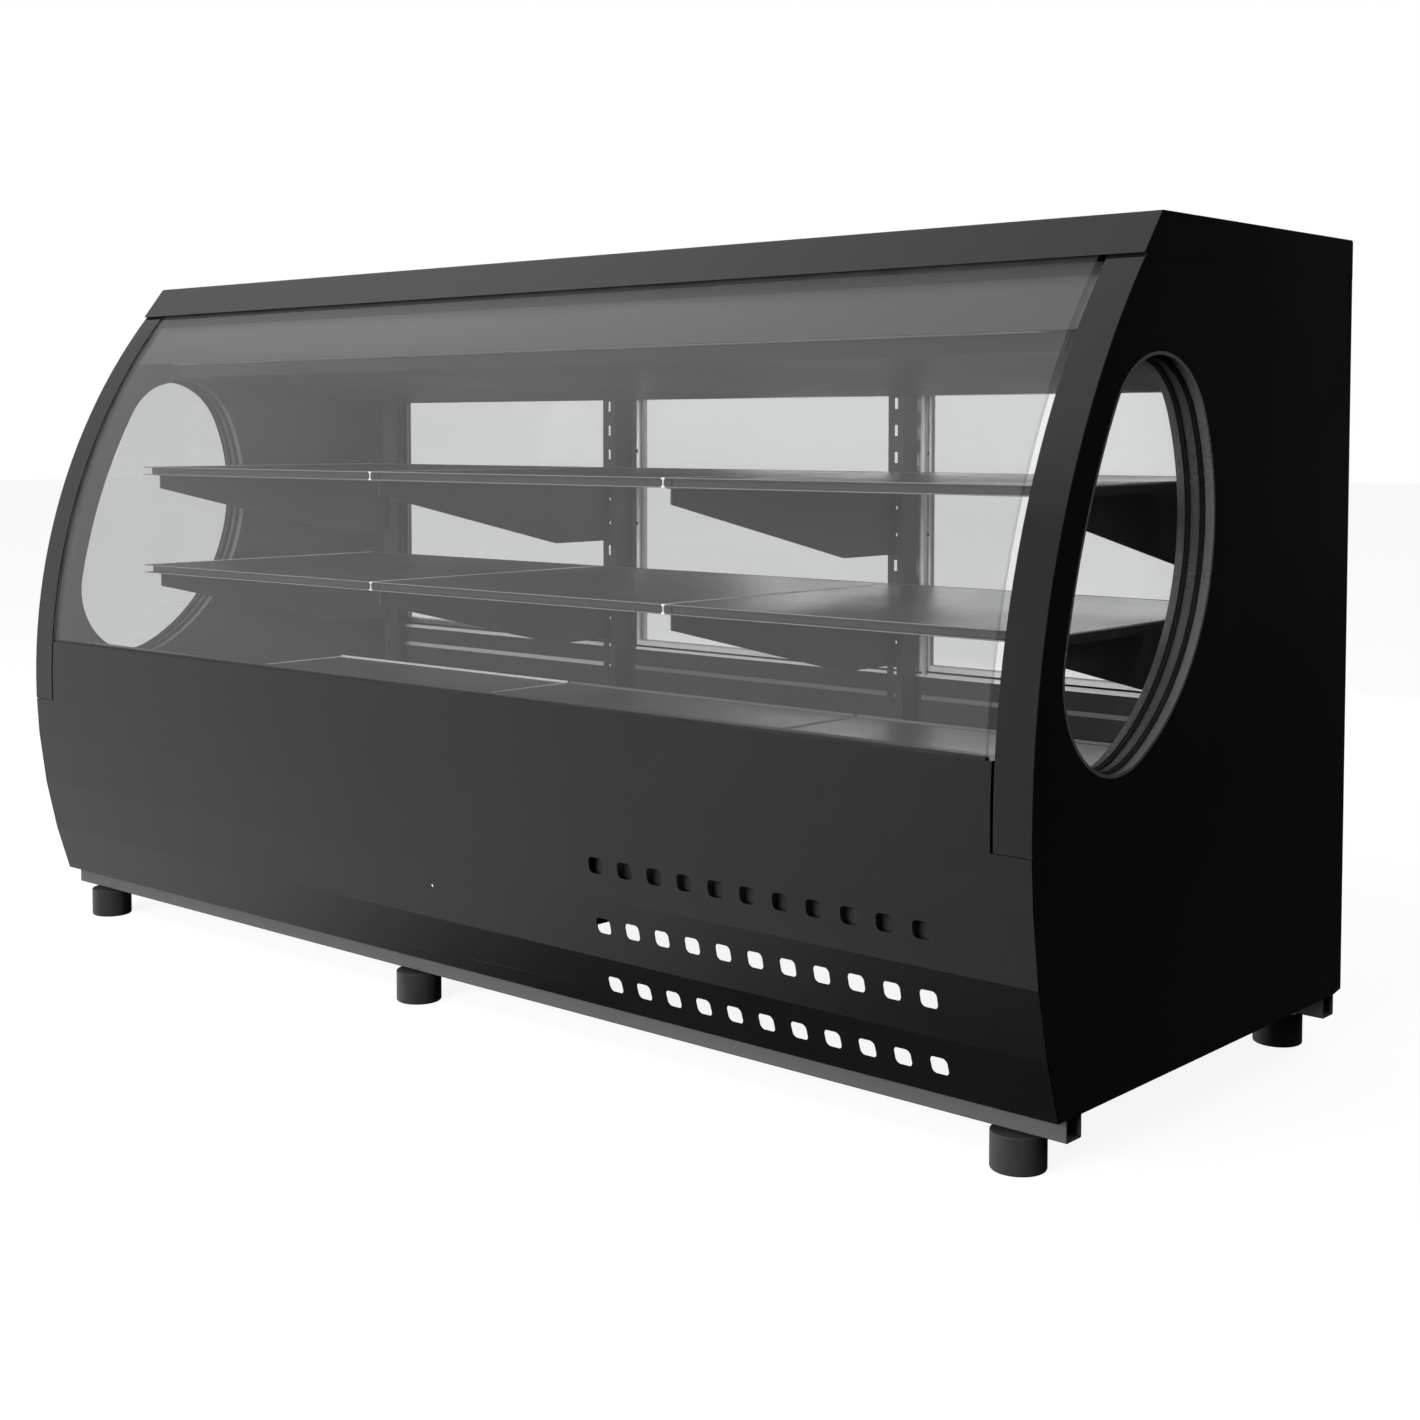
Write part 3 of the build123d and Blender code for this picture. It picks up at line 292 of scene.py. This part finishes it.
GALVANISED = ((0.32, 0.33, 0.34), (0.5, 0.51, 0.52), 0.45, (9.0, 14.0, 14.0))
FIN_STOCK = ((0.5, 0.5, 0.51), (0.68, 0.68, 0.69), 0.35, (300.0, 4.0, 4.0))
COPPER = ((0.5, 0.23, 0.13), (0.75, 0.4, 0.26), 0.3, grey(60.0))
TINTED = ((0.822, 0.825, 0.828), 1.0, 0.01, grey(0.5), 0.015, 1.7)

MATERIALS = {
    "black_paint": painted("gloss_black_paint", grey(0.002), grey(0.004), 0.11, 0.4, 0.015),
    "dark_paint": painted("satin_dark_paint", grey(0.03), grey(0.038), 0.38, 0.5, 0.01),
    "black_plastic": moulded("black_plastic", grey(0.012), grey(0.02), 0.42),
    "rubber": moulded("black_rubber", grey(0.006), grey(0.012), 0.6, 900.0, 0.2, 0.3),
    "clear_plastic": pane("clear_seal", (0.97, 0.975, 0.975), 0.8, 0.15),
    "tinted_glass": pane("tinted_glass", *TINTED),
    "clear_glass": pane("clear_glass", (0.984, 0.987, 0.986), 0.9, 0.01),
    "aluminium": satin("satin_aluminium", 0.86, 0.93, 0.42),
    "milky_plastic": milky("milky_diffuser"),
    "foam": foam("cut_foam"),
    "galvanised": brushed("galvanised_steel", *GALVANISED),
    "compressor_paint": painted("compressor_black", grey(0.008), grey(0.014), 0.3, 0.5, 0.08),
    "fins": brushed("mill_aluminium", *FIN_STOCK),
    "copper": brushed("drawn_copper", *COPPER),
}
CHROME = brushed("bright_steel", (0.55, 0.55, 0.56), grey(0.8), 0.18, grey(40.0))
INK = moulded("white_print", grey(0.6), grey(0.7), 0.6)
# light grey hems that stand in for edge highlights: a bright and a dim painted highlight
BRIGHT_HIGHLIGHT_EDGE = satin("bright_painted_highlight_hem", 0.75, 0.9, 0.4)
DIM_HIGHLIGHT_EDGE = satin("dim_painted_highlight_hem", 0.14, 0.2, 0.35)
# a brighter painted highlight for the left bay's sill trim
LIT_TRIM_HIGHLIGHT = satin("painted_highlight_trim", 0.5, 0.62, 0.4)
# painted shade on the front face of a brushed aluminium frame
SHADED_FRAME = front_shaded("shaded_aluminium", grey(0.14), grey(0.9), 0.42)
VINYL = moulded("grey_vinyl", grey(0.5), grey(0.56), 0.5)
PILE = moulded("wool_pile", grey(0.008), grey(0.014), 0.9, 1200.0, 0.5, 0.1)
FOOT = moulded("foot_plastic", grey(0.011), grey(0.017), 0.4)
REVEAL = painted("satin_reveal_paint", grey(0.075), grey(0.09), 0.26, 0.4, 0.01)
CHASSIS = painted("satin_chassis_paint", grey(0.03), grey(0.04), 0.28, 0.6, 0.02)
# foam coloured near black, so that it reads dark through the first row of front slots
NEAR_BLACK_FOAM = moulded("near_black_foam", grey(0.008), grey(0.014), 0.55, 260.0, 0.2)

# nodes whose finish differs from their slot's
OWN_FINISH = {
    "porthole_sleeves": REVEAL,
    "tub_foam": NEAR_BLACK_FOAM,
    # the left door frame's front face takes painted shade
    "door_frame_left": SHADED_FRAME,
    "levelling_feet": FOOT,
    "front_rail": CHASSIS,
    "rear_rail": CHASSIS,
    "cross_members": CHASSIS,
}
for name, obj in NODES.items():
    obj.data.materials.clear()
    obj.data.materials.append(OWN_FINISH.get(name) or MATERIALS[SLOTS[name]])


# ---------------------------------------------------------------- mesh helpers
def mesh_object(name, mesh_maker, material):
    """A new object whose mesh is built by mesh_maker(bm)."""
    mesh = bpy.data.meshes.new(name)
    bm = bmesh.new()
    mesh_maker(bm)
    bm.normal_update()
    bm.to_mesh(mesh)
    bm.free()
    mesh.materials.append(material)
    obj = bpy.data.objects.new(name, mesh)
    bpy.context.scene.collection.objects.link(obj)
    return obj


def piece(name, mesh_maker, material, body="case"):
    """A new object that rides on one body and takes its finish from one slot."""
    obj = mesh_object(name, mesh_maker, material)
    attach(obj, body)


def lathe(bm, profile, matrix, steps):
    """Turns (radius, height) points about Z and closes both ends."""
    rings = []
    for radius, height in profile:
        ring = []
        for i in range(steps):
            angle = 2 * math.pi * i / steps
            spot = Vector((radius * math.cos(angle), radius * math.sin(angle), height))
            ring.append(bm.verts.new(matrix @ spot))
        rings.append(ring)
    for lower, upper in zip(rings, rings[1:]):
        for i in range(steps):
            j = (i + 1) % steps
            bm.faces.new((lower[i], lower[j], upper[j], upper[i]))
    bm.faces.new(list(reversed(rings[0])))
    bm.faces.new(rings[-1])


def bar(bm, start, end, radius, steps=10):
    """A round hem from start to end, with softened ends."""
    run = end - start
    matrix = Matrix.Translation(start) @ run.to_track_quat("Z", "Y").to_matrix().to_4x4()
    soft = radius * 0.5
    tip = radius * 0.6
    profile = [(tip, 0.0), (radius, soft), (radius, run.length - soft), (tip, run.length)]
    lathe(bm, profile, matrix, steps)


def lengthwise(bm, low, high, y, z, radius):
    bar(bm, Vector((low.x, y, z)), Vector((high.x, y, z)), radius)


def crosswise(bm, low, high, x, z, radius):
    bar(bm, Vector((x, low.y, z)), Vector((x, high.y, z)), radius)


def slab(bm, low, high, soft=0.0006):
    """A block with its edges cut back, between two corners."""
    made = bmesh.ops.create_cube(bm, size=1.0)
    for vert in made["verts"]:
        vert.co = Vector(
            low[i] + (high[i] - low[i]) * (vert.co[i] + 0.5) for i in range(3)
        )
    edges = list({edge for vert in made["verts"] for edge in vert.link_edges})
    reach = min(soft, 0.3 * min(high[i] - low[i] for i in range(3)))
    bmesh.ops.bevel(bm, geom=edges, offset=reach, segments=2, profile=0.6, affect="EDGES")


# ---------------------------------------------------------------- screws on the back
REARWARD = Matrix.Rotation(math.radians(-90), 4, "X")
SCREW_R = 0.005
SCREW_HEIGHT = 0.0018
SCREW_SIDES = 24
SCREW_MARGIN = 0.02
SCREW_REACH = 0.65
HEADER_SCREW_X = (-0.9, -0.45, 0.0, 0.45, 0.9)
# a pan head with a socket sunk in its crown: radius and height, as shares
SCREW_CROWN = (
    (1.0, 0.0),
    (1.0, 0.35),
    (0.9, 0.75),
    (0.62, 1.0),
    (0.46, 1.0),
    (0.42, 0.35),
)


def screws(name, places):
    profile = [(r * SCREW_R, h * SCREW_HEIGHT) for r, h in SCREW_CROWN]

    def heads(bm):
        for place in places:
            lathe(bm, profile, Matrix.Translation(place) @ REARWARD, SCREW_SIDES)

    piece(name, heads, CHROME)


header_low, header_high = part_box("rear_header")
header_z = (header_low.z + header_high.z) / 2
screws("header_screws", [Vector((x, header_high.y, header_z)) for x in HEADER_SCREW_X])

panel_low, panel_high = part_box("rear_panel")
columns = [panel_low.x + SCREW_MARGIN, panel_low.x + SCREW_REACH]
columns += [panel_high.x - SCREW_REACH, panel_high.x - SCREW_MARGIN]
rows = (panel_low.z + SCREW_MARGIN, panel_high.z - SCREW_MARGIN)
screws("rear_panel_screws", [Vector((x, panel_high.y, z)) for x in columns for z in rows])

# ---------------------------------------------------------------- shelf and tray hems
LIP_LINE = 0.0008
JOINT_HEM = 0.0013
END_HEM = 0.0019
TRAY_HEM = 0.0029
TRAY_HEM_IN = 0.0025
TRAY_HEM_DOWN = 0.0024
TRAY_SIDE_DOWN = 0.0028
# each shelf level, with the hem at the joints between its bays
LEVELS = {"upper_shelf": 0.0008, "lower_shelf": JOINT_HEM}

for level, joint_hem in LEVELS.items():
    for bay in BAYS:
        shelf_low, shelf_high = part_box(level + "_" + bay)
        right_hem = END_HEM if bay == "right" else joint_hem

        def lip_lines(bm, low=shelf_low, high=shelf_high):
            for z in (high.z - LIP_LINE * 0.6, low.z + LIP_LINE * 0.6):
                lengthwise(bm, low, high, low.y, z, LIP_LINE)
            lengthwise(bm, low, high, high.y, high.z - LIP_LINE * 0.2, LIP_LINE)

        def end_hems(bm, low=shelf_low, high=shelf_high, left=joint_hem, right=right_hem):
            crosswise(bm, low, high, low.x + left, high.z - left * 0.3, left)
            crosswise(bm, low, high, high.x - right * 0.6, high.z - right * 0.7, right)

        # lip lines carry a dim painted highlight, end hems a bright one
        piece(level + "_lip_lines_" + bay, lip_lines, DIM_HIGHLIGHT_EDGE)
        piece(level + "_end_hems_" + bay, end_hems, BRIGHT_HIGHLIGHT_EDGE)

for bay in BAYS:
    tray_low, tray_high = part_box("deck_tray_" + bay)

    def tray_hems(bm, low=tray_low, high=tray_high):
        inner = Vector((high.x, high.y - TRAY_HEM_IN, high.z))
        lengthwise(bm, low, inner, inner.y, high.z - TRAY_HEM_DOWN, TRAY_HEM)
        for x in (low.x + JOINT_HEM, high.x - JOINT_HEM):
            crosswise(bm, low, inner, x, high.z - TRAY_SIDE_DOWN, JOINT_HEM)

    # the left bay's tray hems take the bright painted highlight, the other bays the dim one
    hem_highlight = BRIGHT_HIGHLIGHT_EDGE if bay == "left" else DIM_HIGHLIGHT_EDGE
    piece("deck_tray_hems_" + bay, tray_hems, hem_highlight)

# ---------------------------------------------------------------- clips between shelf bays
CLIP_HALF = 0.0032
CLIP_HEIGHT = 0.0025
CLIP_FRONT = 0.0014
WEB_HALF = 0.0009
WEB_FRONT = 0.001
CLIP_SINK = 0.0006

for level in LEVELS:
    _, left_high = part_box(level + "_left")
    centre_low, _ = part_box(level + "_centre")

    def clips(bm, edge=left_high, start=centre_low):
        middle = (edge.x + start.x) / 2
        back = start.y + CLIP_SINK
        front = start.y - CLIP_FRONT
        for x in (middle, -middle):
            for z in (start.z, edge.z - CLIP_HEIGHT):
                slab(bm, (x - CLIP_HALF, front, z), (x + CLIP_HALF, back, z + CLIP_HEIGHT))
            web_low = (x - WEB_HALF, start.y - WEB_FRONT, start.z)
            slab(bm, web_low, (x + WEB_HALF, back, edge.z))

    # the clips carry the bright painted highlight
    piece(level + "_clips", clips, BRIGHT_HIGHLIGHT_EDGE)

# ---------------------------------------------------------------- doors
GASKET = 0.0016
GASKET_DEPTH = 0.0028
GLASS_HELD = 0.006
PILE_T = 0.0007
PILE_IN = 0.002
PILE_SINK = 0.0002
PILE_SOFT = 0.0002
PILE_Z = (0.4598, 0.4630)

for bay in BAYS:
    frame_low, frame_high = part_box("door_frame_" + bay)
    glass_low, glass_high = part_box("door_glass_" + bay)

    def door_gasket(bm, low=glass_low, high=glass_high):
        x0, x1 = low.x + GLASS_HELD, high.x - GLASS_HELD
        z0, z1 = low.z + GLASS_HELD, high.z - GLASS_HELD
        for y0, y1 in ((low.y - GASKET_DEPTH, low.y), (high.y, high.y + GASKET_DEPTH)):
            slab(bm, (x0, y0, z0), (x0 + GASKET, y1, z1))
            slab(bm, (x1 - GASKET, y0, z0), (x1, y1, z1))
            slab(bm, (x0 + GASKET, y0, z0), (x1 - GASKET, y1, z0 + GASKET))
            slab(bm, (x0 + GASKET, y0, z1 - GASKET), (x1 - GASKET, y1, z1))

    def door_pile(bm, low=frame_low, high=frame_high):
        front = (low.x + PILE_IN, low.y - PILE_T, PILE_Z[0])
        back = (high.x - PILE_IN, low.y + PILE_SINK, PILE_Z[1])
        slab(bm, front, back, PILE_SOFT)

    piece("door_gasket_" + bay, door_gasket, VINYL, "door_" + bay)
    piece("door_pile_" + bay, door_pile, PILE, "door_" + bay)

# ---------------------------------------------------------------- sill trim
TRIM_Z = (0.4200, 0.4272)
TRIM_T = 0.0012
TRIM_SOFT = 0.0004
TRIM_EDGES = {"left": (-0.946, -0.326), "centre": (-0.288, 0.288), "right": (0.326, 0.946)}
# from the tub liner's rear edge forward to the sill's face
SILL_DEPTH = 0.0307
sill_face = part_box("tub_liner")[1].y - SILL_DEPTH

for bay, (x0, x1) in TRIM_EDGES.items():

    def trim(bm, x0=x0, x1=x1):
        front = sill_face - TRIM_T
        slab(bm, (x0, front, TRIM_Z[0]), (x1, sill_face, TRIM_Z[1]), TRIM_SOFT)

    # the left bay's trim takes the brighter painted highlight, the other bays the dim one
    trim_highlight = LIT_TRIM_HIGHLIGHT if bay == "left" else DIM_HIGHLIGHT_EDGE
    piece("sill_trim_" + bay, trim, trim_highlight)

# ---------------------------------------------------------------- rear louvres
LOUVRE_X = [0.330 + 0.092 * i for i in range(6)]
LOUVRE_Z = [0.108 + 0.026 * i for i in range(5)]
HOOD_SINK = 0.0002
HOOD_DROP = 0.0042
# a hood's section, as distance out and up: over its outside, and back inside
HOOD_OVER = [(0.0, 0.0105), (0.0022, 0.0095), (0.0036, 0.0060), (0.0040, 0.0015)]
HOOD_UNDER = [(0.0030, 0.0015), (0.0026, 0.0055), (0.0014, 0.0082), (0.0, 0.0090)]
# places along a hood, with the share of its depth there
HOOD_RUN = ((-0.038, 0.25), (-0.034, 1.0), (0.034, 1.0), (0.038, 0.25))


def hood(bm, x, z):
    rings = []
    for along, share in HOOD_RUN:
        ring = []
        for out, up in HOOD_OVER + HOOD_UNDER:
            y = panel_high.y - HOOD_SINK + out * share
            ring.append(bm.verts.new((x + along, y, z + up - HOOD_DROP)))
        rings.append(ring)
    for first, second in zip(rings, rings[1:]):
        for i in range(len(first)):
            j = (i + 1) % len(first)
            bm.faces.new((first[i], second[i], second[j], first[j]))
    bm.faces.new(rings[0])
    bm.faces.new(list(reversed(rings[-1])))


def hoods(bm):
    for x in LOUVRE_X:
        for z in LOUVRE_Z:
            hood(bm, x, z)


piece("louvre_hoods", hoods, MATERIALS["black_paint"])

# ---------------------------------------------------------------- thermostat marks
# the control plate lies this far forward of the knob's grip
PLATE_DEPTH = 0.019
DIAL_TICKS = 11
DIAL_START = 225
DIAL_STEP = 27
TICK_NEAR = 0.0215
TICK_FAR = 0.0265
FINE_TICK = 0.0005
BOLD_TICK = 0.0009
BOLD_EVERY = 5
TICK_SIDES = 8
POINTER_HALF = 0.0009
POINTER_NEAR = 0.003
POINTER_FAR = 0.0165
POINTER_SINK = 0.0004
POINTER_PROUD = 0.0003

knob_low, knob_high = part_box("thermostat_knob")
dial_x, dial_z = (knob_low.x + knob_high.x) / 2, (knob_low.z + knob_high.z) / 2


def dial_ticks(bm):
    centre = Vector((dial_x, knob_high.y - PLATE_DEPTH, dial_z))
    for i in range(DIAL_TICKS):
        angle = math.radians(DIAL_START - DIAL_STEP * i)
        reach = Vector((math.cos(angle), 0, math.sin(angle)))
        radius = FINE_TICK if i % BOLD_EVERY else BOLD_TICK
        bar(bm, centre + reach * TICK_NEAR, centre + reach * TICK_FAR, radius, TICK_SIDES)


def knob_pointer(bm):
    low = (dial_x - POINTER_HALF, knob_high.y - POINTER_SINK, dial_z + POINTER_NEAR)
    high = (dial_x + POINTER_HALF, knob_high.y + POINTER_PROUD, dial_z + POINTER_FAR)
    slab(bm, low, high)


piece("dial_ticks", dial_ticks, INK)
piece("knob_pointer", knob_pointer, INK, "thermostat")

# ---------------------------------------------------------------- floor
FLOOR_HALF = 30.0
FLOOR_GLOW = 0.9


def floor_mesh(bm):
    spots = [(-1, -1), (1, -1), (1, 1), (-1, 1)]
    bm.faces.new([bm.verts.new((x * FLOOR_HALF, y * FLOOR_HALF, 0)) for x, y in spots])


def floor_material():
    t = material_tree("pale_floor")
    matte = t.node("ShaderNodeBsdfDiffuse")
    t.link(t.tint(t.noise(2.0), grey(0.08), grey(0.084)), matte.inputs["Color"])
    both = t.node("ShaderNodeAddShader")
    t.link(matte.outputs[0], both.inputs[0])
    t.link(t.shining("ShaderNodeEmission", FLOOR_GLOW), both.inputs[1])
    t.surface(both.outputs[0])
    return t.owner


floor = mesh_object("studio_floor", floor_mesh, floor_material())
floor.visible_glossy = False
floor.visible_diffuse = False

# ---------------------------------------------------------------- surroundings
LEFT_WEIGHT = -0.95
FRONT_WEIGHT = -0.3

bpy.context.scene.world = bpy.data.worlds.new("studio")
sky = Tree(bpy.context.scene.world, "ShaderNodeOutputWorld", "Generated")
way = sky.split(sky.coords)
# bright towards the front left, dark towards the rear right, so that the end wall stays black
leftward = sky.math("MULTIPLY", way["X"], LEFT_WEIGHT)
side = sky.math("ADD", leftward, sky.math("MULTIPLY", way["Y"], FRONT_WEIGHT))
wall = sky.span(side, 0.02, 0.88, 0.3, 1.1, smooth=True)
overhead = sky.span(way["Z"], 0.0, 1.0, 0.25, 0.75, smooth=True)
overhead = sky.math("MULTIPLY", overhead, sky.span(side, 0.66, 1.12, 0.2, 0.95, smooth=True))
ground = sky.span(way["Z"], 0.04, 1.0, -0.62, -0.5, smooth=True)
radiance = sky.math("MULTIPLY", sky.math("MAXIMUM", wall, overhead), ground)
studio = sky.shining("ShaderNodeBackground", radiance)
white = sky.shining("ShaderNodeBackground", 1.0)
# the camera sees plain white, and every other ray sees the studio
seen = sky.node("ShaderNodeLightPath").outputs["Is Camera Ray"]
sky.surface(sky.mix(seen, studio, white))


def softbox(name, place, aim, size, power, glossy):
    lamp_data = bpy.data.lights.new(name, "AREA")
    lamp_data.shape = "RECTANGLE"
    lamp_data.size, lamp_data.size_y = size
    lamp_data.energy = power
    lamp = bpy.data.objects.new(name, lamp_data)
    bpy.context.scene.collection.objects.link(lamp)
    lamp.location = place
    lamp.rotation_euler = (Vector(aim) - Vector(place)).to_track_quat("-Z", "Y").to_euler()
    lamp.visible_glossy = glossy
    lamp.visible_camera = False


softbox("key", (-3.0, -4.0, 4.5), (0, 0, 0.5), (3.0, 3.0), 360, False)
softbox("front_fill", (0.4, -5.0, 1.5), (0, 0, 0.6), (3.0, 2.0), 700, False)
softbox("rim", (3.5, 3.5, 4.0), (0, 0, 0.6), (3.0, 1.5), 90, False)
softbox("rear_fill", (-0.7, 4.0, 1.3), (-0.7, 0, 1.1), (4.8, 2.2), 90, True)

# ---------------------------------------------------------------- camera
CAMERA_PLACE = (2.1708, -2.2573, 0.8381)
CAMERA_YAW = math.radians(42.005)
CAMERA_PITCH = math.radians(2.928)
lens = bpy.data.cameras.new("camera")
lens.sensor_width = 36.0
lens.lens = 51.86
lens.shift_x = 0.0223
lens.shift_y = -0.1225
camera = bpy.data.objects.new("camera", lens)
bpy.context.scene.collection.objects.link(camera)
camera.location = CAMERA_PLACE
camera.rotation_euler = (math.radians(90) - CAMERA_PITCH, 0, CAMERA_YAW)
bpy.context.scene.camera = camera
bpy.context.scene.view_settings.view_transform = "Standard"
